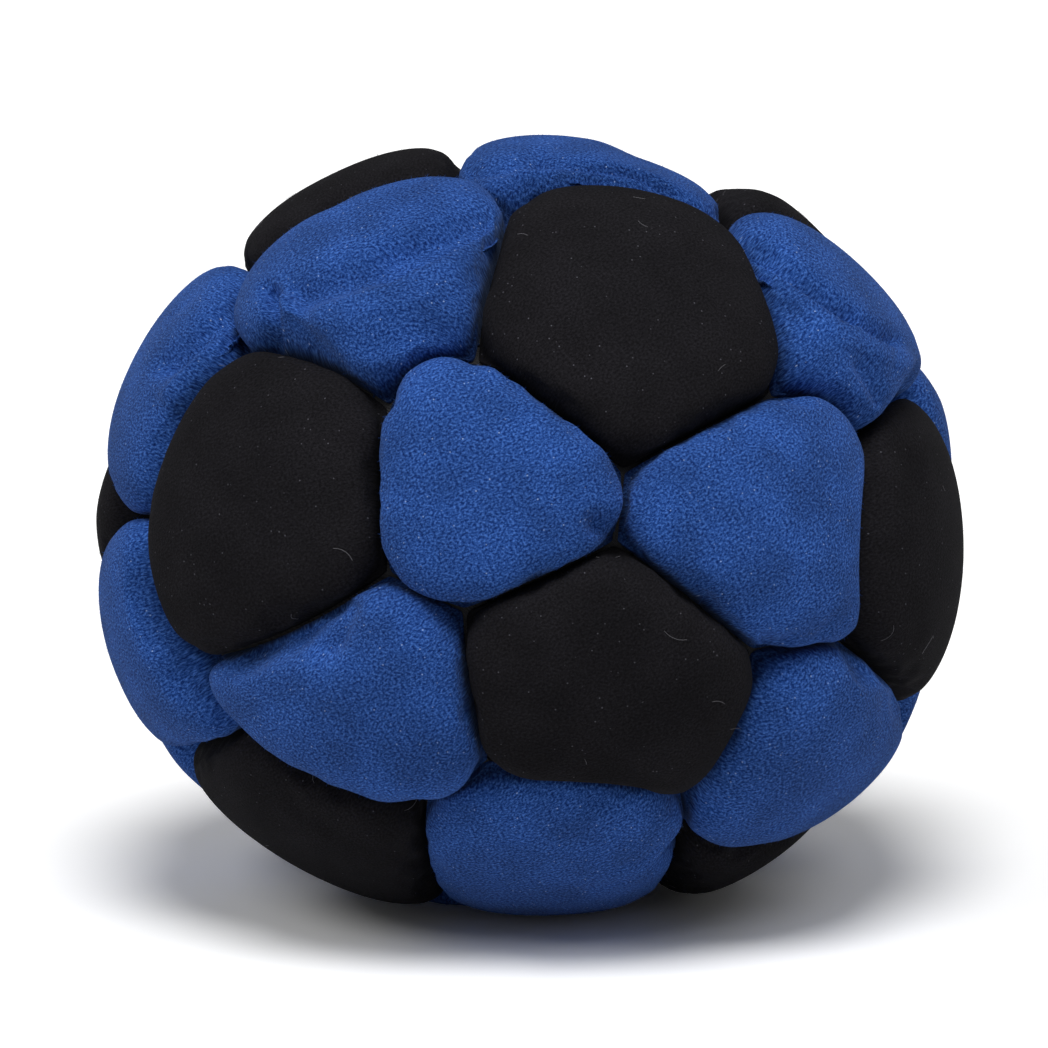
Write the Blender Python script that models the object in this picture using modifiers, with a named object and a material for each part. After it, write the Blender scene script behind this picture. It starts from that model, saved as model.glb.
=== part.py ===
"""A footbag of 32 suede panels, lying slack on flat ground.

Twelve black pentagons and twenty blue hexagons are sewn edge to edge along 90 seams, inside out,
and turned through the last seam, so that the edge of each panel runs inwards between its
neighbours. The loose filling presses every panel into a pillow, and the weight of the bag
spreads it: it is wider than it is high, and flat where it rests.

Metres, +Z up. The ground is z = 0 and the middle of the bag is above the origin. Its front, as
photographed, is the -Y side, with +X to the right.
"""

import math

import bmesh
import bpy
from mathutils import Euler, Matrix, Vector

# The bag as it lies
bag_width = 0.054
bag_depth = 0.0506
widest_level = 0.0225
rise_over_widest = 0.0256
drop_under_widest = 0.0237

# The panels
panel_crown = 0.0023
suede_thickness = 0.0008
turned_edge = 0.0018
turned_splay = 0.0006
seam_gap = 0.0003

# What the panels hold
thread_thickness = 0.0004
thread_clearance = 0.0003
filling_clearance = 0.0005
filling_side_clearance = 0.0009

# The pattern is an icosahedron whose corners are cut off at this share of its edges. A seam
# round a black panel is then twice as long as a seam between two blue ones.
corner_cut_share = 0.41
pattern_turn = Euler([math.radians(angle) for angle in (35, 19, -1)])

# A panel's section, from its middle to its rim, is flat and then steep. Its rows of points crowd
# towards the rim in the same way. Where two sides meet, a higher corner power leaves less of the
# corner sunk.
crown_power = 3.0
rim_power = 2.4
corner_power = 8.0
row_crowding = 1.7
panel_rows = 4
thread_steps = 2
boss_steps = 2
boss_row_shares = (0.86, 0.5)

# Where three seams meet, seen from this far off and this much above level: how far right of the
# bag's middle and how far up, as shares of the seams' half width and half height. The middles of
# bowed seams are given likewise. A place past the outline stands for one as far behind it, which a
# full panel hides.
sight_distance = 0.42
sight_elevation = math.radians(12)
corner_shares = (
    (-0.04, 0.94), (0.48, 0.87), (-0.73, 0.53), (-0.14, 0.54), (0.64, 0.44),
    (-0.37, 0.41), (0.83, 0.29), (0.25, 0.22), (-0.93, 0.08), (0.23, 0.01),
    (-0.37, -0.08), (-0.17, -0.19), (-0.82, -0.32), (0.81, -0.27), (0.59, -0.31),
    (-0.70, -0.51), (-0.10, -0.63), (-0.27, -0.72), (0.40, -0.69), (-0.19, 0.98),
    (-0.66, 0.74), (-0.99, 0.08), (0.93, 0.39), (-0.84, -0.54), (0.90, -0.46),
    (0.80, -0.60), (-0.18, -0.95), (0.28, -0.94), (0.39, -0.81), (0.51, 0.89),
    (0.40, 1.03), (-0.14, 1.13), (-0.78, 0.78), (0.87, 0.55), (-1.00, -0.25),
)  # fmt: skip
middle_shares = (
    (-0.26, 0.51), (-0.91, -0.13), (-0.54, 0.51), (-0.58, -0.22), (-0.15, -0.41),
    (0.70, -0.28), (0.75, 0.39), (-0.71, 0.65), (0.25, 0.96), (0.58, 0.68),
    (0.51, -0.50), (0.81, 0.04), (0.15, -0.65), (0.90, 0.39), (-0.26, -0.85),
)  # fmt: skip
follow_rounds = 12
follow_share = 0.85

# How full each panel is, where it isn't as full as the rest
fullness_shares = {
    "blue_panel_04": 1.42,
    "blue_panel_05": 1.2,
    "blue_panel_02": 1.3,
    "black_panel_01": 1.15,
    "black_panel_03": 1.45,
    "black_panel_06": 1.1,
    "black_panel_07": 1.15,
    "blue_panel_10": 1.6,
    "blue_panel_17": 1.5,
    "blue_panel_18": 0.75,
    "blue_panel_11": 1.15,
    "blue_panel_15": 1.15,
    "blue_panel_16": 1.5,
    "blue_panel_20": 1.35,
}

# Dents that the loose filling leaves: on which panel, from where to where as seen, and how deep as
# a share of the crown
dent_width = 0.0024
dent_shares = (
    ("blue_panel_01", (0.31, 1.15), (0.53, 1.00), 0.4),
    ("blue_panel_02", (-0.13, 0.91), (-0.58, 0.71), 0.25),
    ("blue_panel_05", (-0.73, 0.68), (-0.93, 0.51), 0.18),
    ("blue_panel_04", (0.51, 0.87), (0.93, 0.58), 0.15),
)


def half_sizes(crown):
    """Half the bag's width and depth, its rise and its drop, at this depth under the crowns."""
    reach = (bag_width / 2, bag_depth / 2, rise_over_widest, drop_under_widest)
    return [size - crown for size in reach]


def seam_point(direction):
    """Where a direction from the middle meets the surface that the seams lie on."""
    half_width, half_depth, rise, drop = half_sizes(panel_crown)
    height = rise if direction.z > 0 else drop
    unit = direction.normalized()
    return Vector((unit.x * half_width, unit.y * half_depth, unit.z * height + widest_level))


def direction_of(point):
    """The direction whose seam point lies on the line from the bag's middle to this point."""
    half_width, half_depth, rise, drop = half_sizes(panel_crown)
    up = point.z - widest_level
    height = rise if up > 0 else drop
    return Vector((point.x / half_width, point.y / half_depth, up / height)).normalized()


def outward(direction):
    """Square to the seam surface, away from the filling."""
    half_width, half_depth, rise, drop = half_sizes(panel_crown)
    height = rise if direction.z > 0 else drop
    slope = (direction.x / half_width, direction.y / half_depth, direction.z / height)
    return Vector(slope).normalized()


def raised(point, height, ground):
    """The seam point outside this point, raised by a height, and no lower than the ground."""
    direction = direction_of(point)
    place = seam_point(direction) + outward(direction) * height
    place.z = max(place.z, ground)
    return place


def sighted_direction(right_share, up_share):
    """The direction from the bag's middle to the seam that is seen at these shares."""
    half_width, half_depth, rise, drop = half_sizes(panel_crown)
    sine = math.sin(sight_elevation)
    cosine = math.cos(sight_elevation)
    up = up_share * (rise + drop) / 2
    eye = Vector((0, -cosine, sine)) * sight_distance
    ray = Vector((right_share * half_width, up * sine, up * cosine)) - eye
    for height in (rise, drop):
        sizes = (half_width, half_depth, height)
        start = Vector([eye[i] / sizes[i] for i in range(3)])
        along = Vector([ray[i] / sizes[i] for i in range(3)]).normalized()
        nearest = start - along * start.dot(along)
        miss = nearest.length
        if miss < 1:
            met = nearest - along * math.sqrt(1 - miss**2)
        else:
            met = nearest * (2 - miss) / miss + along * math.sqrt(1 - (2 - miss) ** 2)
        if (met.z > 0) == (height == rise):
            break
    return met.normalized()


def sighted_place(point):
    """How far right of the bag's middle a point is seen, and how far up."""
    away = point - Vector((0, 0, widest_level))
    sine = math.sin(sight_elevation)
    cosine = math.cos(sight_elevation)
    nearer = away.z * sine - away.y * cosine
    scale = sight_distance / (sight_distance - nearer)
    return Vector((away.x, away.z * cosine + away.y * sine)) * scale


def seam_network():
    """The closed net of 60 corners, 90 seams and 32 faces, where the seams lie.

    The corners that are seen go where they are seen, and the rest follow their neighbours. The
    faces are in order from the top of the pattern to its base.
    """
    net = bmesh.new()
    bmesh.ops.create_icosphere(net, subdivisions=1, radius=1)
    bmesh.ops.bevel(
        net,
        geom=net.verts[:],
        offset=corner_cut_share * 100,
        offset_type="PERCENT",
        segments=1,
        profile=0.5,
        affect="VERTICES",
        material=-1,
    )
    for corner in net.verts:
        corner.co.rotate(pattern_turn)
        corner.co.normalize()
    net.faces.sort(key=lambda face: -face.calc_center_median().z)
    shifts = {corner: Vector() for corner in net.verts}
    free = net.verts[:]
    for right_share, up_share in corner_shares:
        seen = sighted_direction(right_share, up_share)
        nearest = min(free, key=lambda corner: (corner.co + shifts[corner] - seen).length)
        free.remove(nearest)
        shifts[nearest] = seen - nearest.co
        for _ in range(follow_rounds):
            for corner in free:
                around = [shifts[seam.other_vert(corner)] for seam in corner.link_edges]
                shifts[corner] = sum(around, Vector()) * follow_share / len(around)
    for corner in net.verts:
        corner.co = seam_point(corner.co + shifts[corner])
    set_bows(net)
    return net


def set_bows(net):
    """On each seam, how far its middle is from where the straight one's would be."""
    bow = net.edges.layers.float_vector.new("bow")
    middles = {}
    for seam in net.edges:
        start, end = (corner.co for corner in seam.verts)
        middles[seam] = raised((start + end) / 2, 0, 0)
    for right_share, up_share in middle_shares:
        seen = seam_point(sighted_direction(right_share, up_share))
        seam = min(middles, key=lambda seam: (middles[seam] - seen).length)
        start, end = (corner.co for corner in seam.verts)
        along = (end - start).normalized()
        aside = seen - middles[seam]
        seam[bow] = aside - along * aside.dot(along)


def bow_share(along):
    """How far a seam is bowed, this share of the way along it, as a share of its middle's bow."""
    return 4 * along * (1 - along)


def bow_near(net, point):
    """How far the seam that passes nearest a point is bowed there."""
    bow = net.edges.layers.float_vector["bow"]
    nearest = math.inf
    for seam in net.edges:
        start, end = (corner.co for corner in seam.verts)
        side = end - start
        along = min(max((point - start).dot(side) / side.length_squared, 0), 1)
        apart = (start + side * along - point).length
        if apart < nearest:
            nearest = apart
            shift = seam[bow] * bow_share(along)
    return shift


def panel_names(net):
    """The name of each face's panel, in the order of the faces."""
    names = []
    for face in net.faces:
        word = "black" if len(face.verts) == 5 else "blue"
        number = sum(name.startswith(word) for name in names) + 1
        names.append(f"{word}_panel_{number:02d}")
    return names


def dent_at(name, place):
    """How deep a panel is dented at this place."""
    half_width, _, rise, drop = half_sizes(panel_crown)
    half_height = (rise + drop) / 2
    seen = sighted_place(place)
    depth = 0
    for panel, start_share, end_share, depth_share in dent_shares:
        if panel == name:
            start, end = (
                Vector((right_share * half_width, up_share * half_height))
                for right_share, up_share in (start_share, end_share)
            )
            side = end - start
            along = min(max((seen - start).dot(side) / side.length_squared, 0), 1)
            aside = (start + side * along - seen).length
            depth += depth_share * panel_crown * math.exp(-((aside / dent_width) ** 2))
    return depth


def crown_share(point, middle, rim):
    """A panel's height over its seams, from 1 at its middle to 0 at its rim and in its corners.

    The nearness of each side is 0 at the middle and 1 on the side. Their power sum follows the
    nearest side, but turns from one side to the next with no crease.
    """
    nearness = 0
    for start, end in zip(rim, rim[1:] + rim[:1]):
        side = end - start
        from_side = side.cross(point - start).length / side.cross(middle - start).length
        nearness += max(1 - from_side, 0) ** corner_power
    nearness = min(nearness ** (1 / corner_power), 1)
    return (1 - nearness**crown_power) ** (1 / rim_power)


def bow_at(point, middle, rim, bows):
    """How far the bow of the nearest side carries a panel's point, most at the side itself."""
    nearest = 0
    shift = Vector()
    for start, end, bow in zip(rim, rim[1:] + rim[:1], bows):
        side = end - start
        near = 1 - side.cross(point - start).length / side.cross(middle - start).length
        if near > nearest:
            nearest = near
            met = middle + (point - middle) / near
            along = (met - start).dot(side) / side.length_squared
            shift = bow * bow_share(along) * near**2
    return shift


def panel_mesh(name, corners, bows):
    """The outer face of one panel, crowned between its seams, with its edge turned inwards."""
    sheet = bmesh.new()
    ring = sheet.verts.layers.float.new("ring")
    face = sheet.faces.new([sheet.verts.new(corner) for corner in corners])
    face.normal_update()
    gap = bmesh.ops.inset_individual(
        sheet, faces=[face], thickness=seam_gap / 2, use_even_offset=True
    )
    bmesh.ops.delete(sheet, geom=gap["faces"], context="FACES")
    for corner in sheet.verts:
        corner[ring] = 1
    rim = [corner.co.copy() for corner in face.verts]
    hub = bmesh.ops.poke(sheet, faces=[face])["verts"][0]
    hub[ring] = 0
    middle = hub.co.copy()
    bmesh.ops.subdivide_edges(
        sheet, edges=sheet.edges[:], cuts=panel_rows - 1, use_grid_fill=True
    )
    crown = panel_crown * fullness_shares.get(name, 1)
    for point in sheet.verts:
        if point[ring] > 0:
            crowded = 1 - (1 - min(point[ring], 1)) ** row_crowding
            point.co = middle + (point.co - middle) * crowded / point[ring]
        share = crown_share(point.co, middle, rim)
        flat = point.co + bow_at(point.co, middle, rim, bows)
        full = raised(flat, crown * share, 0)
        point.co = raised(flat, (crown - dent_at(name, full)) * share, 0)
    border = [edge for edge in sheet.edges if edge.is_boundary]
    turned = bmesh.ops.extrude_edge_only(sheet, edges=border)["geom"]
    tips = [point for point in turned if isinstance(point, bmesh.types.BMVert)]
    steps = {}
    for tip in tips:
        before, after = (edge.other_vert(tip).co for edge in tip.link_edges if edge.is_boundary)
        along = ((tip.co - before).normalized() + (after - tip.co).normalized()) / 2
        normal = outward(direction_of(tip.co))
        inwards = along.cross(normal).normalized()
        if inwards.dot(middle - tip.co) < 0:
            inwards.negate()
        steps[tip] = inwards * turned_splay / along.length - normal * turned_edge
    for tip, step in steps.items():
        tip.co += step
    return mesh_from(sheet, "panel")


def thread_depth():
    """How deep the thread lies, where the two turned edges stand far enough apart for it."""
    room = thread_thickness / 2 + thread_clearance - seam_gap / 2
    return room * turned_edge / turned_splay + thread_thickness / 2


def thread_mesh(net):
    """A ribbon along every seam, in the notch between its two turned edges."""
    line = net.copy()
    ribbon = bmesh.ops.bevel(
        line,
        geom=line.verts[:] + line.edges[:],
        offset=thread_thickness / 2,
        offset_type="OFFSET",
        segments=1,
        profile=0.5,
        affect="EDGES",
        material=-1,
    )["faces"]
    between = [face for face in line.faces if face not in ribbon]
    bmesh.ops.delete(line, geom=between, context="FACES")
    straight = []
    bowed = []
    for edge in line.edges:
        if edge.is_boundary:
            shift = bow_near(net, (edge.verts[0].co + edge.verts[1].co) / 2)
            (bowed if shift.length > 0 else straight).append(edge)
    bmesh.ops.subdivide_edges(line, edges=straight, cuts=thread_steps - 1)
    bmesh.ops.subdivide_edges(line, edges=bowed, cuts=panel_rows - 1)
    for point in line.verts:
        place = point.co + bow_near(net, point.co)
        point.co = raised(place, -thread_depth(), thread_depth())
    return mesh_from(line, "thread")


def filling_mesh(net):
    """The grains as one body: a boss in each panel, and a groove round every turned edge."""
    wall = seam_gap / 2 + turned_splay + suede_thickness + filling_side_clearance
    floor = max(turned_edge, thread_depth() + thread_thickness / 2) + filling_clearance
    ground = suede_thickness + filling_clearance
    body = net.copy()
    bmesh.ops.bisect_edges(body, edges=body.edges[:], cuts=boss_steps - 1)
    for point in body.verts:
        point.co += bow_near(net, point.co)
    panels = body.faces[:]
    for panel in panels:
        rim = [point.co.copy() for point in panel.verts]
        middle = panel.calc_center_median()
        reach = min(
            (end - start).cross(middle - start).length / (end - start).length
            for start, end in zip(rim, rim[1:] + rim[:1])
        )
        bmesh.ops.inset_individual(body, faces=[panel], thickness=seam_gap)
        for point, edge in zip(panel.verts, rim):
            point.co = middle + (edge - middle) * (1 - wall / reach)
    for point in body.verts:
        point.co = raised(point.co, -floor, ground)
    bosses = bmesh.ops.extrude_discrete_faces(body, faces=panels)["faces"]
    for name, boss in zip(panel_names(net), bosses):
        crown = panel_crown * fullness_shares.get(name, 1) - suede_thickness - filling_clearance
        middle = boss.calc_center_median()
        rim = [point.co.copy() for point in boss.verts]
        for point in boss.verts:
            point.co = raised(point.co, -filling_clearance, ground)
        for share in boss_row_shares:
            bmesh.ops.inset_individual(body, faces=[boss], thickness=wall / 2)
            for point, edge in zip(boss.verts, rim):
                spread = middle + (edge - middle) * share
                full = raised(spread, panel_crown, ground)
                height = (crown - dent_at(name, full)) * crown_share(spread, middle, rim)
                point.co = raised(spread, height, ground)
        hub = bmesh.ops.poke(body, faces=[boss])["verts"][0]
        full = raised(hub.co, panel_crown, ground)
        hub.co = raised(hub.co, crown - dent_at(name, full), ground)
    return mesh_from(body, "filling")


def mesh_from(shape, name):
    """A smooth-shaded mesh of a bmesh, which is freed."""
    mesh = bpy.data.meshes.new(name)
    shape.to_mesh(mesh)
    shape.free()
    mesh.shade_smooth()
    mesh.set_sharp_from_angle(angle=math.radians(50))
    return mesh


def linear(byte):
    """A colour channel from 0 to 255, as it is written, made linear."""
    level = byte / 255
    return level / 12.92 if level <= 0.04045 else ((level + 0.055) / 1.055) ** 2.4


def material(name, colour, roughness):
    """A plain, non-metallic finish."""
    finish = bpy.data.materials.new(name)
    finish.use_nodes = True
    shader = finish.node_tree.nodes["Principled BSDF"]
    shader.inputs["Base Color"].default_value = [linear(byte) for byte in colour] + [1]
    shader.inputs["Roughness"].default_value = roughness
    shader.inputs["Metallic"].default_value = 0
    return finish


def add_part(name, mesh, finish, middle, collection, bag):
    """One named piece, with its origin at its own middle."""
    mesh.transform(Matrix.Translation(-middle))
    mesh.materials.append(finish)
    part = bpy.data.objects.new(name, mesh)
    part.location = middle
    part.parent = bag
    collection.objects.link(part)
    return part


def build_panels(net, collection, bag):
    """Each face of the net as a panel, numbered from the top of the pattern to its base."""
    black = material("black_suede", (26, 25, 30), 0.95)
    blue = material("blue_suede", (38, 69, 134), 0.95)
    bow = net.edges.layers.float_vector["bow"]
    for name, face in zip(panel_names(net), net.faces):
        corners = [corner.co for corner in face.verts]
        bows = [loop.edge[bow] for loop in face.loops]
        mesh = panel_mesh(name, corners, bows)
        finish = black if name.startswith("black") else blue
        panel = add_part(name, mesh, finish, face.calc_center_median(), collection, bag)
        wall = panel.modifiers.new("suede", "SOLIDIFY")
        wall.thickness = suede_thickness
        wall.offset = -1
        wall.use_even_offset = True


def build_thread(net, collection, bag):
    """The thread of all the seams, which meets itself at every corner."""
    finish = material("polyester_thread", (30, 30, 34), 0.6)
    middle = Vector((0, 0, widest_level))
    thread = add_part("seam_thread", thread_mesh(net), finish, middle, collection, bag)
    strand = thread.modifiers.new("strand", "SOLIDIFY")
    strand.thickness = thread_thickness
    strand.offset = 0


def build_filling(net, collection, bag):
    """The loose grains that give the bag its weight."""
    finish = material("filling_grains", (196, 178, 142), 0.9)
    middle = Vector((0, 0, widest_level))
    add_part("filling", filling_mesh(net), finish, middle, collection, bag)


def main():
    for old in list(bpy.data.objects):
        bpy.data.objects.remove(old, do_unlink=True)
    collection = bpy.data.collections.new("footbag")
    bpy.context.scene.collection.children.link(collection)
    bag = bpy.data.objects.new("footbag_middle", None)
    collection.objects.link(bag)
    net = seam_network()
    build_panels(net, collection, bag)
    build_thread(net, collection, bag)
    build_filling(net, collection, bag)
    net.free()


main()
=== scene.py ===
"""A slack footbag of blue and black suede panels, on a white studio floor.

The bag is laid out from the same sizes and the same net of seams as its solids. Each panel is
drawn again as a fine sheet of suede: crowned, filled out by a short cloth simulation, creased
where the photograph shows it, covered with single fibres of its nap, and turned in at the seams
round it. The filling and the thread are the solids themselves.

Metres, +Z up. The camera looks along +Y.
"""

import math

import bmesh
import bpy
import numpy as np
from mathutils import Euler, Matrix, Quaternion, Vector


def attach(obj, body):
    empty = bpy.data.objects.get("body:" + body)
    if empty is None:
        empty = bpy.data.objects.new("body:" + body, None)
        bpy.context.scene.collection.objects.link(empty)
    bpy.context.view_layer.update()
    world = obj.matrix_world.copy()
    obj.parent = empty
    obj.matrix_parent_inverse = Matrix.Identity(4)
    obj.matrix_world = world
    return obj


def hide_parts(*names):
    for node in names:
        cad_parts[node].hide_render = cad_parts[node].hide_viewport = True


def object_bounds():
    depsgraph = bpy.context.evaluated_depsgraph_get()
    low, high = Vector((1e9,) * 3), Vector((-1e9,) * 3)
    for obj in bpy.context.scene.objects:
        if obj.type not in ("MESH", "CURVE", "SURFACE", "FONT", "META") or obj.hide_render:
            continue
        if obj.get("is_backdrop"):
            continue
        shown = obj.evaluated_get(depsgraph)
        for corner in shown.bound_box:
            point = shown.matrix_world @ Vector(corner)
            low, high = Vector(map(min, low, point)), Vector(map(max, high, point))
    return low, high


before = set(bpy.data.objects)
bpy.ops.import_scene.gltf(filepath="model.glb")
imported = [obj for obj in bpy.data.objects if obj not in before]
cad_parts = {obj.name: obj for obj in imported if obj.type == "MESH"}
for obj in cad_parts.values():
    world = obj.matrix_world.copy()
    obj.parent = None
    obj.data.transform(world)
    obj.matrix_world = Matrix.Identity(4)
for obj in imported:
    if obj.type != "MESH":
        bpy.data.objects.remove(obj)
solid_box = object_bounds()

# The bag as it lies
bag_width = 0.054
bag_depth = 0.0506
widest_level = 0.0225
rise_over_widest = 0.0256
drop_under_widest = 0.0237

# The panels
panel_crown = 0.0023
suede_thickness = 0.0008
turned_edge = 0.0018
seam_gap = 0.0003

# The pattern, as in the solids: an icosahedron with its corners cut off, and how it is turned
corner_cut_share = 0.41
pattern_turn = Euler([math.radians(angle) for angle in (35, 19, -1)])

# Where the photograph is taken from
sight_distance = 0.42
sight_elevation = math.radians(12)

# Where corners of the seams are seen, right of the bag's middle and over it, in shares of half
# the seams' width and half their height
corner_shares = (
    (-0.04, 0.94), (0.48, 0.87), (-0.73, 0.53), (-0.14, 0.54), (0.64, 0.44),
    (-0.37, 0.41), (0.83, 0.29), (0.25, 0.22), (-0.93, 0.08), (0.23, 0.01),
    (-0.37, -0.08), (-0.17, -0.19), (-0.82, -0.32), (0.81, -0.27), (0.59, -0.31),
    (-0.70, -0.51), (-0.10, -0.63), (-0.27, -0.72), (0.40, -0.69), (-0.19, 0.98),
    (-0.66, 0.74), (-0.99, 0.08), (0.93, 0.39), (-0.84, -0.54), (0.90, -0.46),
    (0.80, -0.60), (-0.18, -0.95), (0.28, -0.94), (0.39, -0.81), (0.51, 0.89),
    (0.40, 1.03), (-0.14, 1.13), (-0.78, 0.78), (0.87, 0.55), (-1.00, -0.25),
)  # fmt: skip

# Where the middles of seams that bow are seen
middle_shares = (
    (-0.26, 0.51), (-0.91, -0.13), (-0.54, 0.51), (-0.58, -0.22), (-0.15, -0.41),
    (0.70, -0.28), (0.75, 0.39), (-0.71, 0.65), (0.25, 0.96), (0.58, 0.68),
    (0.51, -0.50), (0.81, 0.04), (0.15, -0.65), (0.90, 0.39), (-0.26, -0.85),
)  # fmt: skip

# How the other corners follow their neighbours
follow_rounds = 12
follow_share = 0.85

# How full each panel is, where it isn't as full as the rest
fullness_shares = {
    "blue_04": 1.42,
    "blue_05": 1.2,
    "blue_02": 1.3,
    "black_01": 1.15,
    "black_03": 1.45,
    "black_06": 1.1,
    "black_07": 1.15,
    "blue_10": 1.6,
    "blue_17": 1.5,
    "blue_18": 0.75,
    "blue_11": 1.15,
    "blue_15": 1.15,
    "blue_16": 1.5,
    "blue_20": 1.35,
}

# Creases that show, on which panel: from where to where, as the corners are given, how wide and
# how deep. A ridge is under zero.
fold_shares = (
    ("blue_02", (-0.13, 0.91), (-0.34, 0.80), 0.00094, 0.00167),
    ("blue_02", (-0.34, 0.80), (-0.58, 0.71), 0.00102, 0.00106),
    ("blue_02", (-0.07, 0.87), (-0.28, 0.73), 0.00102, -0.00083),
    ("blue_02", (-0.28, 0.72), (-0.51, 0.64), 0.00102, -0.00083),
    ("blue_02", (-0.64, 0.54), (-0.66, 0.72), 0.00042, 0.00190),
    ("blue_02", (-0.61, 0.55), (-0.62, 0.69), 0.00051, -0.00083),
    ("blue_02", (-0.21, 0.60), (-0.40, 0.56), 0.00102, 0.00059),
    ("blue_02", (-0.56, 0.49), (-0.52, 0.47), 0.00076, 0.00214),
    ("blue_01", (0.31, 1.15), (0.53, 1.00), 0.00240, 0.00070),
    ("blue_01", (-0.14, 1.05), (0.03, 1.08), 0.00042, 0.00060),
    ("blue_01", (0.03, 1.08), (0.28, 1.05), 0.00042, 0.00060),
    ("blue_01", (0.28, 1.05), (0.48, 0.94), 0.00042, 0.00060),
    ("blue_01", (-0.02, 1.04), (0.28, 1.02), 0.00059, -0.00048),
    ("blue_04", (0.51, 0.87), (0.63, 0.80), 0.00051, 0.00143),
    ("blue_04", (0.63, 0.80), (0.82, 0.64), 0.00051, 0.00119),
    ("blue_04", (0.82, 0.64), (0.93, 0.58), 0.00051, 0.00083),
    ("blue_04", (0.60, 0.75), (0.81, 0.59), 0.00068, -0.00071),
    ("blue_04", (0.81, 0.59), (0.95, 0.51), 0.00068, -0.00071),
    ("blue_04", (0.85, 0.51), (0.90, 0.41), 0.00051, 0.00059),
    ("blue_05", (-0.73, 0.68), (-0.82, 0.60), 0.00068, 0.00190),
    ("blue_05", (-0.82, 0.60), (-0.93, 0.51), 0.00068, 0.00119),
    ("blue_05", (-0.75, 0.59), (-0.90, 0.42), 0.00068, -0.00095),
    ("blue_11", (-0.96, -0.04), (-0.93, -0.27), 0.00080, 0.00051),
    ("blue_11", (-0.75, -0.32), (-0.77, -0.49), 0.00070, 0.00068),
    ("blue_13", (-0.71, -0.30), (-0.52, -0.27), 0.00090, 0.00136),
    ("blue_13", (-0.52, -0.27), (-0.47, -0.18), 0.00080, 0.00170),
    ("blue_13", (-0.38, -0.17), (-0.33, -0.27), 0.00150, -0.00051),
    ("blue_13", (-0.25, -0.15), (-0.17, -0.27), 0.00070, 0.00136),
    ("blue_07", (0.18, 0.06), (0.22, 0.04), 0.00070, 0.00170),
    ("blue_09", (0.28, -0.03), (0.51, -0.27), 0.00060, 0.00068),
    ("blue_09", (0.62, -0.30), (0.61, -0.27), 0.00050, 0.00085),
    ("blue_15", (0.83, -0.30), (0.86, -0.36), 0.00050, 0.00102),
)

# A panel's section: how flat its crown is, how steep its sides, and how sharp its corners
crown_power = 3.2
rim_power = 2.4
corner_power = 9.0

# Its rows of points lie closer towards the rim
panel_rows = 20
row_crowding = 1.5

# It dips where three seams meet
corner_sink = 0.0009
corner_reach = 0.0012

# Its creases stay over the filling, and fade towards the rim, where its ridges end
crease_share_at_rim = 0.3
deepest_crease = 0.0012
highest_ridge = 0.0005

# Its edge is turned in by this many rows
edge_rows = 3

# The cloth simulation, on sheets this many times larger. No point moves past the reach.
cloth_scale = 10
cloth_frames = 20
cloth_pressure = 2
cloth_growth = 0.03
cloth_reach = 0.0006

# The nap: how far round it lies on each panel's cut, and how much it is drawn out along that
nap_turn = math.radians(25)
nap_disorder = 0.5
nap_stretch = 0.8

# What shows in it: tufts, the tips that catch the light, and patches of painted shade where the
# nap lies different ways. The tufts and tips are drawn a few times coarser than single fibres,
# which would be too fine to show.
grain_size = 0.00012
glint_spacing = 0.00055
nap_shade_patch_size = 0.0025

# Single fibres that stand out of the nap, with the least and the most of what varies
fibre_length = 0.00025
fibre_length_shares = (0.5, 1.3)
fibre_radius = 0.000009
fibre_lean = 0.9
fibre_lean_shares = (0.3, 1.5)
fibre_middle_share = 0.4
fibres_on = {"blue": 500, "black": 200}

# Curled lint that has caught in the black panels, in short straight bits
lint_on_black = 5
lint_length = 0.0006
lint_radius = 0.000011
lint_bit_share = 0.4
lint_bits = (2, 8)
lint_bend = 0.35
lint_overlap = 1.1

# The filling and the thread
sand_grain = 0.0004
thread_twist = 0.0004

# Fibres and lint fall alike each run
panel_seed = 7

# Less than this is nought
tiny = 1e-9

# The studio: how bright its paper and its world are, for the bag and as the camera sees them
paper_level = 0.72
paper_level_seen = 1.3
world_level = 0.16
world_level_seen = 1.0
floor_half = 3

# Its softboxes: where each one is seen from the bag, how strong and how many degrees wide it is
softboxes = (
    ("left_softbox", (-0.60, -0.35, 0.72), 0.70, 30),
    ("right_softbox", (0.50, -0.30, 0.81), 0.45, 30),
    ("overhead_softbox", (0, -0.34, 0.94), 1.75, 25),
)

# The photograph, in pixels, and the width of the camera's sensor in millimetres
photo_side = 1048
photo_middle = (528.5, 545.0)
photo_bag_width = 858
sensor_width = 36


# The net of seams

seam_half = np.array((bag_width, bag_depth, 0)) / 2 - panel_crown
seam_rise = rise_over_widest - panel_crown
seam_drop = drop_under_widest - panel_crown
bag_middle = np.array((0, 0, widest_level))


def seam_sizes(up):
    """Half the width, half the depth and the rise or drop of the seams' surface."""
    sizes = np.tile(seam_half, (len(up), 1))
    sizes[:, 2] = np.where(up > 0, seam_rise, seam_drop)
    return sizes


def outward(points):
    """The way out of the seams' surface at these points."""
    away = points - bag_middle
    normal = away / seam_sizes(away[:, 2]) ** 2
    return normal / np.linalg.norm(normal, axis=1, keepdims=True)


def raised(points, heights):
    """The seams' surface outside these points, raised by the heights, and kept over the ground."""
    away = points - bag_middle
    sizes = seam_sizes(away[:, 2])
    unit = away / sizes
    unit /= np.linalg.norm(unit, axis=1, keepdims=True)
    place = unit * sizes + bag_middle
    place += outward(place) * np.reshape(heights, (-1, 1))
    place[:, 2] = np.maximum(place[:, 2], 0)
    return place


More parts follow.
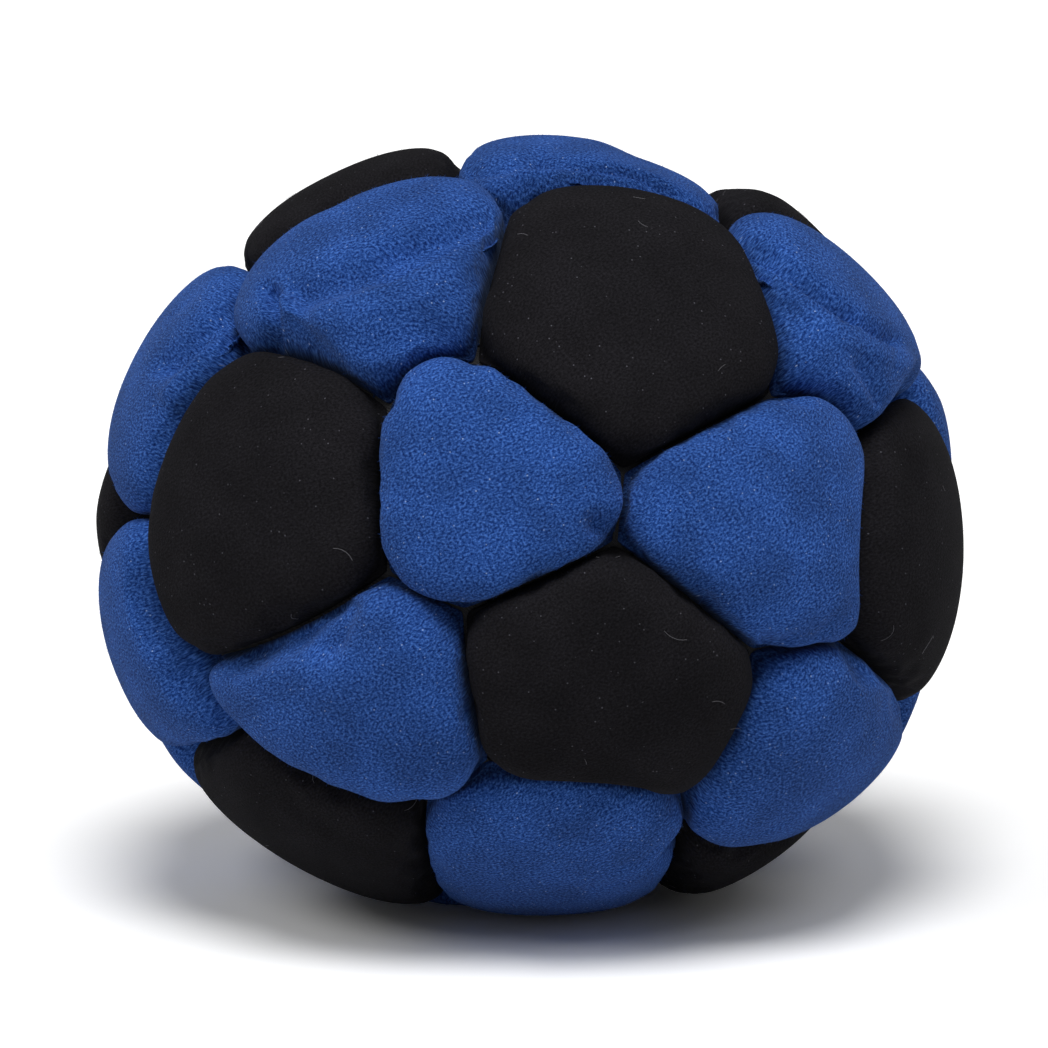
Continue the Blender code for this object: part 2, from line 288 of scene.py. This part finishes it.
def sighted_direction(right_share, up_share):
    """The direction from the bag's middle to the seam that is seen at these shares.

    A place past the outline stands for one as far behind it, which a full panel hides.
    """
    sine = math.sin(sight_elevation)
    cosine = math.cos(sight_elevation)
    up = up_share * (seam_rise + seam_drop) / 2
    eye = np.array((0, -cosine, sine)) * sight_distance
    ray = np.array((right_share * seam_half[0], up * sine, up * cosine)) - eye
    for height in (seam_rise, seam_drop):
        sizes = np.array((seam_half[0], seam_half[1], height))
        start = eye / sizes
        along = ray / sizes
        along /= np.linalg.norm(along)
        nearest = start - along * (start @ along)
        miss = np.linalg.norm(nearest)
        if miss < 1:
            met = nearest - along * math.sqrt(1 - miss**2)
        else:
            met = nearest * (2 - miss) / miss + along * math.sqrt(1 - (2 - miss) ** 2)
        if (met[2] > 0) == (height == seam_rise):
            break
    return Vector(met).normalized()


def seam_point(direction):
    """Where a direction from the bag's middle meets the seams' surface."""
    unit = np.array([direction.normalized()])
    return Vector((unit * seam_sizes(unit[:, 2]) + bag_middle)[0])


def seam_network():
    """The closed net of 60 corners, 90 seams and 32 faces, where the seams lie."""
    net = bmesh.new()
    bmesh.ops.create_icosphere(net, subdivisions=1, radius=1)
    bmesh.ops.bevel(
        net,
        geom=net.verts[:],
        offset=corner_cut_share * 100,
        offset_type="PERCENT",
        segments=1,
        profile=0.5,
        affect="VERTICES",
        material=-1,
    )
    for corner in net.verts:
        corner.co.rotate(pattern_turn)
        corner.co.normalize()
    net.faces.sort(key=lambda face: -face.calc_center_median().z)
    shifts = {corner: Vector() for corner in net.verts}
    free = list(net.verts)
    for right_share, up_share in corner_shares:
        seen = sighted_direction(right_share, up_share)
        nearest = min(free, key=lambda corner: (corner.co + shifts[corner] - seen).length)
        free.remove(nearest)
        shifts[nearest] = seen - nearest.co
        for _ in range(follow_rounds):
            for corner in free:
                around = [shifts[edge.other_vert(corner)] for edge in corner.link_edges]
                shifts[corner] = sum(around, Vector()) * follow_share / len(around)
    for corner in net.verts:
        corner.co = seam_point(corner.co + shifts[corner])
    bow = net.edges.layers.float_vector.new("bow")
    middles = {}
    for seam in net.edges:
        start, end = (corner.co for corner in seam.verts)
        middles[seam] = Vector(raised(np.array([(start + end) / 2]), 0)[0])
    for right_share, up_share in middle_shares:
        seen = seam_point(sighted_direction(right_share, up_share))
        seam = min(middles, key=lambda seam: (middles[seam] - seen).length)
        start, end = (corner.co for corner in seam.verts)
        along = (end - start).normalized()
        aside = seen - middles[seam]
        seam[bow] = aside - along * aside.dot(along)
    return net


# The photograph's view

view_right = np.array((1.0, 0.0, 0.0))
view_up = np.array((0, math.sin(sight_elevation), math.cos(sight_elevation)))
view_back = np.array((0, -math.cos(sight_elevation), math.sin(sight_elevation)))
metres_per_pixel = bag_width / photo_bag_width
aim = (
    bag_middle
    + view_right * (photo_side / 2 - photo_middle[0]) * metres_per_pixel
    + view_up * (photo_middle[1] - photo_side / 2) * metres_per_pixel
)


def photo_pixels(points):
    """Where points of the bag are seen in the photograph."""
    away = points - aim
    front = away @ view_back
    scale = sight_distance / (sight_distance - front) / metres_per_pixel
    across = photo_side / 2 + away @ view_right * scale
    down = photo_side / 2 - away @ view_up * scale
    return np.stack((across, down), axis=1)


def creased(name, places, shares):
    """A panel's points, with the creases that show on it pressed into them.

    A crease fades towards the rim, which its seam holds. The shares are the points' heights, from
    0 at the rim to 1 on the crown.
    """
    seen = (photo_pixels(places) - photo_middle) * metres_per_pixel * (1, -1)
    depths = np.zeros(len(places))
    for panel, start, end, width, depth in fold_shares:
        if panel != name:
            continue
        start, end = np.array((start, end)) * (seam_half[0], (seam_rise + seam_drop) / 2)
        run = end - start
        along = np.clip((seen - start) @ run / (run @ run), 0, 1)
        aside = np.linalg.norm(seen - start - along[:, None] * run, axis=1)
        depths += depth * np.exp(-((aside / width) ** 2))
    depths = np.clip(depths, -highest_ridge, deepest_crease)
    depths *= np.where(depths > 0, crease_share_at_rim, 0) * (1 - shares) + shares
    return places - outward(places) * depths[:, None]


def set_camera():
    """A camera that takes in what the photograph does, with the bag as large in it."""
    camera = bpy.data.cameras.new("camera")
    camera.sensor_width = sensor_width
    camera.lens = sensor_width * sight_distance / (photo_side * metres_per_pixel)
    camera.clip_start = sight_distance / 10
    stand = bpy.data.objects.new("camera", camera)
    stand.location = aim + view_back * sight_distance
    stand.rotation_euler = (math.pi / 2 - sight_elevation, 0, 0)
    bpy.context.scene.collection.objects.link(stand)
    bpy.context.scene.camera = stand


# Materials


def linear(hex_colour):
    """An sRGB colour, as it is written, made linear."""
    channels = [int(hex_colour[at : at + 2], 16) / 255 for at in (1, 3, 5)]
    return [
        level / 12.92 if level <= 0.04045 else ((level + 0.055) / 1.055) ** 2.4
        for level in channels
    ] + [1]


def add(tree, kind, settings=(), links=()):
    """A node with its settings, and with links from other nodes' outputs to its inputs."""
    node = tree.nodes.new(kind)
    for name, value in dict(settings).items():
        if isinstance(name, str) and hasattr(node, name):
            setattr(node, name, value)
        else:
            node.inputs[name].default_value = value
    for name, output in dict(links).items():
        tree.links.new(output, node.inputs[name])
    return node


def new_material(name):
    """A material, with its nodes and its shader."""
    material = bpy.data.materials.new(name)
    material.use_nodes = True
    return material, material.node_tree, material.node_tree.nodes["Principled BSDF"]


def suede(name, pit, ground, tip, glint, relief, sheen, painted_seam_shade_level):
    """Microfibre suede, brushed to a short nap.

    The eye sees a matt, soft grain that lies one way, with darker pits between its tufts, a few
    bright tips, patches of painted shade where the nap lies different ways, and a pale sheen at
    the outline. The grain is laid out on each panel's cut, and painted shade darkens it where the
    panel goes down into its seams.
    """
    material, tree, shader = new_material(name)
    place = add(tree, "ShaderNodeAttribute", {"attribute_name": "cut_place"})
    height = add(tree, "ShaderNodeAttribute", {"attribute_name": "height"})
    combed = add(
        tree,
        "ShaderNodeVectorMath",
        {"operation": "MULTIPLY", 1: (nap_stretch, 1, 1)},
        {0: place.outputs["Vector"]},
    )
    grain = add(
        tree,
        "ShaderNodeTexNoise",
        {"Scale": 1 / grain_size, "Detail": 3.0, "Roughness": 0.65},
        {"Vector": combed.outputs["Vector"]},
    )
    ramp = add(tree, "ShaderNodeValToRGB", {}, {"Fac": grain.outputs["Fac"]})
    stops = ramp.color_ramp.elements
    stops[0].position, stops[0].color = 0.36, linear(pit)
    stops[1].position, stops[1].color = 0.66, linear(tip)
    middle = stops.new(0.5)
    middle.color = linear(ground)
    cells = add(
        tree,
        "ShaderNodeTexVoronoi",
        {"Scale": 1 / glint_spacing},
        {"Vector": place.outputs["Vector"]},
    )
    near = add(
        tree,
        "ShaderNodeMapRange",
        {"From Min": 0.04, "From Max": 0.09, "To Min": 0.7, "To Max": 0.0},
        {"Value": cells.outputs["Distance"]},
    )
    glinting = add(
        tree,
        "ShaderNodeMix",
        {"data_type": "RGBA", "B": linear(glint)},
        {"Factor": near.outputs["Result"], "A": ramp.outputs["Color"]},
    )
    # Painted shade: random lighter and darker patches, standing for the nap that lies different
    # ways and takes the light unevenly
    nap_shade_patches = add(
        tree,
        "ShaderNodeTexNoise",
        {"Scale": 1 / nap_shade_patch_size, "Detail": 1.0},
        {"Vector": place.outputs["Vector"]},
    )
    shade = add(
        tree,
        "ShaderNodeMapRange",
        {"From Min": 0.3, "From Max": 0.7, "To Min": 0.82, "To Max": 1.18},
        {"Value": nap_shade_patches.outputs["Fac"]},
    )
    # Painted shade: the colour darkens where the panel goes down into its seams, standing for the
    # shade that falls there
    painted_seam_shade = add(
        tree,
        "ShaderNodeMapRange",
        {"From Min": 0.0, "From Max": 0.3, "To Min": painted_seam_shade_level, "To Max": 1.0},
        {"Value": height.outputs["Fac"]},
    )
    level = add(
        tree,
        "ShaderNodeMath",
        {"operation": "MULTIPLY"},
        {0: shade.outputs["Result"], 1: painted_seam_shade.outputs["Result"]},
    )
    colour = add(
        tree,
        "ShaderNodeVectorMath",
        {"operation": "SCALE"},
        {0: glinting.outputs["Result"], "Scale": level.outputs["Value"]},
    )
    tree.links.new(colour.outputs["Vector"], shader.inputs["Base Color"])
    bump = add(
        tree,
        "ShaderNodeBump",
        {"Strength": 1.0, "Distance": relief},
        {"Height": grain.outputs["Fac"]},
    )
    tree.links.new(bump.outputs["Normal"], shader.inputs["Normal"])
    shader.inputs["Roughness"].default_value = 0.95
    shader.inputs["Specular IOR Level"].default_value = 0.1
    shader.inputs["Sheen Weight"].default_value = sheen
    shader.inputs["Sheen Roughness"].default_value = 0.5
    shader.inputs["Sheen Tint"].default_value = linear(glint)
    return material


def plain(name, colour):
    """Loose polyester fibre: matt, and too fine to show more than its colour."""
    material, _, shader = new_material(name)
    shader.inputs["Base Color"].default_value = linear(colour)
    shader.inputs["Roughness"].default_value = 0.9
    shader.inputs["Specular IOR Level"].default_value = 0.1
    return material


def sand():
    """Dry sand: small round grains in uneven dull browns."""
    material, tree, shader = new_material("dry_sand")
    place = add(tree, "ShaderNodeTexCoord")
    grains = add(
        tree,
        "ShaderNodeTexVoronoi",
        {"Scale": 1 / sand_grain},
        {"Vector": place.outputs["Object"]},
    )
    ramp = add(tree, "ShaderNodeValToRGB", {}, {"Fac": grains.outputs["Color"]})
    ramp.color_ramp.elements[0].color = linear("#4a3f30")
    ramp.color_ramp.elements[1].color = linear("#a8977a")
    tree.links.new(ramp.outputs["Color"], shader.inputs["Base Color"])
    bump = add(
        tree,
        "ShaderNodeBump",
        {"Strength": 1.0, "Distance": sand_grain, "invert": True},
        {"Height": grains.outputs["Distance"]},
    )
    tree.links.new(bump.outputs["Normal"], shader.inputs["Normal"])
    shader.inputs["Roughness"].default_value = 0.8
    return material


def sewing_thread():
    """Black twisted polyester thread: slanting strands with a dull shine."""
    material, tree, shader = new_material("sewing_thread")
    place = add(tree, "ShaderNodeTexCoord")
    twist = add(
        tree,
        "ShaderNodeTexWave",
        {"Scale": 1 / thread_twist, "bands_direction": "DIAGONAL"},
        {"Vector": place.outputs["Object"]},
    )
    bump = add(
        tree,
        "ShaderNodeBump",
        {"Strength": 0.5, "Distance": thread_twist / 4},
        {"Height": twist.outputs["Fac"]},
    )
    tree.links.new(bump.outputs["Normal"], shader.inputs["Normal"])
    shader.inputs["Base Color"].default_value = linear("#0c0b0e")
    shader.inputs["Roughness"].default_value = 0.6
    return material


# The panels


def panel_form(points, middle, rim, bows):
    """A panel's height over its seams, from 1 at its middle to 0 at its rim, and its bowing."""
    nearness = []
    bowing = []
    for start, side, bow in zip(rim, np.roll(rim, -1, axis=0) - rim, bows):
        reach = np.linalg.norm(np.cross(side, middle - start))
        from_side = np.linalg.norm(np.cross(side, points - start), axis=1) / reach
        near = np.clip(1 - from_side, tiny, None)
        along = (middle + (points - middle) / near[:, None] - start) @ side / (side @ side)
        along = np.clip(along, 0, 1)
        nearness.append(near)
        bowing.append((4 * along * (1 - along) * near**2)[:, None] * bow)
    sector = np.argmax(nearness, axis=0)
    shift = np.array(bowing)[sector, np.arange(len(points))]
    rounded = np.sum(np.array(nearness) ** corner_power, axis=0) ** (1 / corner_power)
    shares = (1 - np.minimum(rounded, 1) ** crown_power) ** (1 / rim_power)
    return shares, shift


def panel_sheet(name, number, corners, bows):
    """The outer face of one panel, before the filling has settled in it."""
    sheet = bmesh.new()
    ring = sheet.verts.layers.float.new("ring")
    cut_place = sheet.verts.layers.float_vector.new("cut_place")
    height = sheet.verts.layers.float.new("height")
    face = sheet.faces.new([sheet.verts.new(corner) for corner in corners])
    face.normal_update()
    gap = bmesh.ops.inset_individual(
        sheet, faces=[face], thickness=seam_gap / 2, use_even_offset=True
    )
    bmesh.ops.delete(sheet, geom=gap["faces"], context="FACES")
    for corner in sheet.verts:
        corner[ring] = 1
    rim = np.array([corner.co for corner in face.verts])
    hub = bmesh.ops.poke(sheet, faces=[face])["verts"][0]
    hub[ring] = 0
    middle = np.array(hub.co)
    bmesh.ops.subdivide_edges(
        sheet, edges=sheet.edges[:], cuts=panel_rows - 1, use_grid_fill=True
    )
    flat = np.array([point.co for point in sheet.verts])
    rings = np.minimum([point[ring] for point in sheet.verts], 1)
    crowded = 1 - (1 - rings) ** row_crowding
    spread = np.where(rings > 0, crowded / np.maximum(rings, tiny), 1)
    flat = middle + (flat - middle) * spread[:, None]
    shares, shift = panel_form(flat, middle, rim, bows)
    from_corner = np.min([np.linalg.norm(flat - corner, axis=1) for corner in rim], axis=0)
    sink = corner_sink * np.exp(-((from_corner / corner_reach) ** 2))
    crown = panel_crown * fullness_shares.get(name, 1)
    places = raised(flat + shift, crown * shares - sink)

    normal = outward(middle[None])[0]
    level = np.cross((0, 0, 1), normal)
    level /= np.linalg.norm(level)
    along = level * math.cos(nap_turn) + np.cross(normal, level) * math.sin(nap_turn)
    across = np.cross(normal, along)
    piece_of_cloth = np.full(len(flat), number * bag_width)
    cut = np.stack(((flat - middle) @ along, (flat - middle) @ across, piece_of_cloth), axis=1)
    for point, place, share, cut_at in zip(sheet.verts, places, shares, cut):
        point.co = place
        point[height] = share
        point[cut_place] = cut_at
    return sheet


def settled(sheets):
    """Let the filling press on the sheets, which their seams hold, as a cloth simulation.

    The sheets are moved where they are. What rests on the ground stays there.
    """
    joined = bmesh.new()
    for sheet in sheets:
        add_to(joined, sheet)
    start = np.array([point.co for point in joined.verts])
    bmesh.ops.scale(joined, vec=(cloth_scale,) * 3, verts=joined.verts[:])
    held = joined.verts.layers.deform.verify()
    for point in joined.verts:
        point[held][0] = float(point.is_boundary)
    mesh = bpy.data.meshes.new("cloth")
    joined.to_mesh(mesh)
    joined.free()
    bag = bpy.data.objects.new("cloth", mesh)
    bpy.context.scene.collection.objects.link(bag)
    bag.vertex_groups.new(name="seams")
    cloth = bag.modifiers.new("cloth", "CLOTH")
    cloth.settings.quality = 5
    cloth.settings.vertex_group_mass = "seams"
    cloth.settings.use_pressure = True
    cloth.settings.uniform_pressure_force = cloth_pressure
    cloth.settings.shrink_min = -cloth_growth
    cloth.settings.effector_weights.gravity = 0
    cloth.point_cache.frame_end = cloth_frames
    for step in range(1, cloth_frames + 1):
        bpy.context.scene.frame_set(step)
    shaped = bag.evaluated_get(bpy.context.evaluated_depsgraph_get())
    places = np.empty(len(start) * 3, np.float32)
    shaped.data.vertices.foreach_get("co", places)
    bpy.data.objects.remove(bag)
    bpy.data.meshes.remove(mesh)
    moved = places.reshape(-1, 3) / cloth_scale - start
    moved *= np.clip(start[:, 2:] / cloth_reach, 0, 1)
    moves = np.linalg.norm(moved, axis=1, keepdims=True)
    start += moved * np.minimum(1, cloth_reach / np.maximum(moves, tiny))
    first = 0
    for sheet in sheets:
        for point, place in zip(sheet.verts, start[first:]):
            point.co = place
        first += len(sheet.verts)


def smoothed(sheet):
    """The sheet with one subdivision."""
    mesh = bpy.data.meshes.new("sheet")
    sheet.to_mesh(mesh)
    sheet.free()
    coarse = bpy.data.objects.new("sheet", mesh)
    bpy.context.scene.collection.objects.link(coarse)
    fine = coarse.modifiers.new("fine", "SUBSURF")
    fine.levels = fine.render_levels = 1
    sheet = bmesh.new()
    sheet.from_object(coarse, bpy.context.evaluated_depsgraph_get())
    bpy.data.objects.remove(coarse)
    bpy.data.meshes.remove(mesh)
    return sheet


def press_creases(name, sheet):
    """Press the photograph's creases into a panel's sheet, and keep it over the ground."""
    height = sheet.verts.layers.float["height"]
    places = np.array([point.co for point in sheet.verts])
    shares = np.array([point[height] for point in sheet.verts])
    places = creased(name, places, shares)
    places[:, 2] = np.maximum(places[:, 2], 0)
    for point, place in zip(sheet.verts, places):
        point.co = place


def turn_edge(sheet):
    """Turn the panel's edge inwards, between its neighbours."""
    middle = np.mean([point.co for point in sheet.verts], axis=0)
    edges = [edge for edge in sheet.edges if edge.is_boundary]
    for _ in range(edge_rows):
        turned = bmesh.ops.extrude_edge_only(sheet, edges=edges)["geom"]
        points = [part for part in turned if isinstance(part, bmesh.types.BMVert)]
        edges = [part for part in turned if isinstance(part, bmesh.types.BMEdge)]
        places = np.array([point.co for point in points])
        normal = outward(places)
        inwards = middle - places
        inwards -= normal * np.sum(inwards * normal, axis=1, keepdims=True)
        inwards /= np.linalg.norm(inwards, axis=1, keepdims=True)
        places -= inwards * seam_gap / 6 + normal * turned_edge / 2
        for point, place in zip(points, places):
            point.co = place


def fibre_roots(sheet, count, chance):
    """Points spread over a sheet, with the way out of it and the way its nap lies."""
    faces = sheet.faces[:]
    sizes = np.array([face.calc_area() for face in faces])
    for at in chance.choice(len(faces), count, p=sizes / sizes.sum()):
        face = faces[at]
        shares = chance.dirichlet(np.ones(len(face.verts)))
        place = sum((corner.co * share for corner, share in zip(face.verts, shares)), Vector())
        nap = face.normal.cross(Vector((0, 0, 1))).normalized()
        nap.rotate(Quaternion(face.normal, nap_turn + chance.normal(0, nap_disorder)))
        yield place, face.normal.copy(), nap


def nap_fibres(sheet, count, chance):
    """Single fibres that stand out of a sheet's nap, but not between it and the ground."""
    shape = bmesh.new()
    for place, normal, nap in fibre_roots(sheet, count, chance):
        if place.z < fibre_length * 2:
            continue
        length = fibre_length * chance.uniform(*fibre_length_shares)
        along = (normal + nap * fibre_lean * chance.uniform(*fibre_lean_shares)).normalized()
        turn = along.to_track_quat("Z", "Y").to_matrix().to_4x4()
        bmesh.ops.create_cone(
            shape,
            segments=3,
            radius1=fibre_radius,
            radius2=0,
            depth=length,
            matrix=Matrix.Translation(place + along * length * fibre_middle_share) @ turn,
        )
    return shape


def add_to(whole, shape):
    """The shape's faces, added to the whole."""
    loose = bpy.data.meshes.new("loose")
    shape.to_mesh(loose)
    whole.from_mesh(loose)
    bpy.data.meshes.remove(loose)


def add_lint(shape, sheet, chance):
    """Curled threads of lint that lie on the nap."""
    bit = lint_length * lint_bit_share
    for place, normal, nap in fibre_roots(sheet, lint_on_black, chance):
        nap.rotate(Quaternion(normal, chance.uniform(0, math.tau)))
        bend = chance.normal(0, lint_bend)
        place += normal * lint_radius * 2
        for _ in range(chance.integers(*lint_bits)):
            turn = nap.to_track_quat("Z", "Y").to_matrix().to_4x4()
            bmesh.ops.create_cone(
                shape,
                segments=3,
                radius1=lint_radius,
                radius2=lint_radius,
                depth=bit * lint_overlap,
                matrix=Matrix.Translation(place + nap * bit / 2) @ turn,
            )
            place += nap * bit
            nap.rotate(Quaternion(normal, bend))


def add_piece(name, shape, finish):
    """A piece of the bag, made of the shape, in its finish."""
    mesh = bpy.data.meshes.new(name)
    shape.to_mesh(mesh)
    shape.free()
    mesh.materials.append(finish)
    piece = bpy.data.objects.new(name, mesh)
    bpy.context.scene.collection.objects.link(piece)
    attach(piece, "root")
    return piece


def cut_panels():
    """Every panel's sheet, by its name."""
    net = seam_network()
    bow = net.edges.layers.float_vector["bow"]
    sheets = {}
    for sides, word in ((5, "black"), (6, "blue")):
        alike = [face for face in net.faces if len(face.verts) == sides]
        for number, face in enumerate(alike, start=1):
            name = f"{word}_{number:02d}"
            bows = [np.array(loop.edge[bow]) for loop in face.loops]
            corners = [corner.co for corner in face.verts]
            sheets[name] = panel_sheet(name, len(sheets), corners, bows)
    net.free()
    return sheets


def build_panels():
    """The whole cover: every panel, the fibres of its nap and the lint on it.
    """
    sheets = cut_panels()
    settled(sheets.values())

    # The last number of each suede is the painted shade in its seams: the share of its colour left
    # at the bottom of them
    finishes = {
        "blue": suede(
            "blue_suede",
            pit="#0a2766",
            ground="#254c94",
            tip="#4a78cc",
            glint="#b0c8f4",
            relief=0.00012,
            sheen=0.12,
            painted_seam_shade_level=0.3,
        ),
        "black": suede(
            "black_suede",
            pit="#100f12",
            ground="#19181b",
            tip="#222125",
            glint="#64646c",
            relief=0.00006,
            sheen=0.03,
            painted_seam_shade_level=0.6,
        ),
    }
    chance = np.random.default_rng(panel_seed)
    fibres = {"black": bmesh.new(), "blue": bmesh.new()}
    lint = bmesh.new()
    for name, sheet in sheets.items():
        word, number = name.split("_")
        sheet = smoothed(sheet)
        press_creases(name, sheet)
        sheet.normal_update()
        fuzz = nap_fibres(sheet, fibres_on[word], chance)
        add_to(fibres[word], fuzz)
        fuzz.free()
        if word == "black":
            add_lint(lint, sheet, chance)
        turn_edge(sheet)
        piece = add_piece(f"{word}_suede_{number}", sheet, finishes[word])
        piece.data.shade_smooth()
        wall = piece.modifiers.new("suede", "SOLIDIFY")
        wall.thickness = suede_thickness
        wall.offset = -1
        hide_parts(f"{word}_panel_{number}")
    add_piece("blue_nap", fibres["blue"], plain("blue_fibre", "#3a63b4"))
    add_piece("black_nap", fibres["black"], plain("black_fibre", "#232227"))
    add_piece("lint", lint, plain("lint", "#77767c"))


# The studio


def sun(name, direction, strength, angle):
    """A broad lamp, far away in this direction."""
    lamp = bpy.data.lights.new(name, "SUN")
    lamp.energy = strength
    lamp.angle = math.radians(angle)
    stand = bpy.data.objects.new(name, lamp)
    stand.rotation_euler = Vector(direction).to_track_quat("Z", "Y").to_euler()
    bpy.context.scene.collection.objects.link(stand)


def studio():
    """A floor of white paper that keeps the bag's shadow, a white world and three softboxes."""
    shape = bmesh.new()
    bmesh.ops.create_grid(shape, x_segments=1, y_segments=1, size=floor_half)
    mesh = bpy.data.meshes.new("floor")
    shape.to_mesh(mesh)
    shape.free()
    floor = bpy.data.objects.new("floor", mesh)
    bpy.context.scene.collection.objects.link(floor)

    # Uncoated white paper: flat and matt, with no grain to be seen at this distance
    material, tree, shader = new_material("white_paper")
    tree.nodes.remove(shader)
    path = add(tree, "ShaderNodeLightPath")
    white = add(
        tree,
        "ShaderNodeMapRange",
        {"To Min": paper_level, "To Max": paper_level_seen},
        {"Value": path.outputs["Is Camera Ray"]},
    )
    paper = add(tree, "ShaderNodeBsdfDiffuse", {}, {"Color": white.outputs["Result"]})
    tree.links.new(paper.outputs["BSDF"], tree.nodes["Material Output"].inputs["Surface"])
    mesh.materials.append(material)
    floor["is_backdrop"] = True

    world = bpy.data.worlds.new("studio")
    bpy.context.scene.world = world
    world.use_nodes = True
    back = world.node_tree.nodes["Background"]
    back.inputs["Color"].default_value = (1, 1, 1, 1)
    path = add(world.node_tree, "ShaderNodeLightPath")
    level = add(
        world.node_tree,
        "ShaderNodeMapRange",
        {"To Min": world_level, "To Max": world_level_seen},
        {"Value": path.outputs["Is Camera Ray"]},
    )
    world.node_tree.links.new(level.outputs["Result"], back.inputs["Strength"])
    for softbox in softboxes:
        sun(*softbox)


bpy.context.scene.view_settings.view_transform = "Standard"

# The solids that show in the deepest seams
for node, finish in (("filling", sand()), ("seam_thread", sewing_thread())):
    materials = bpy.data.objects[node].data.materials
    materials.clear()
    materials.append(finish)
build_panels()
studio()
set_camera()

visual_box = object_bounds()
[[list(corner) for corner in box] for box in (solid_box, visual_box)]
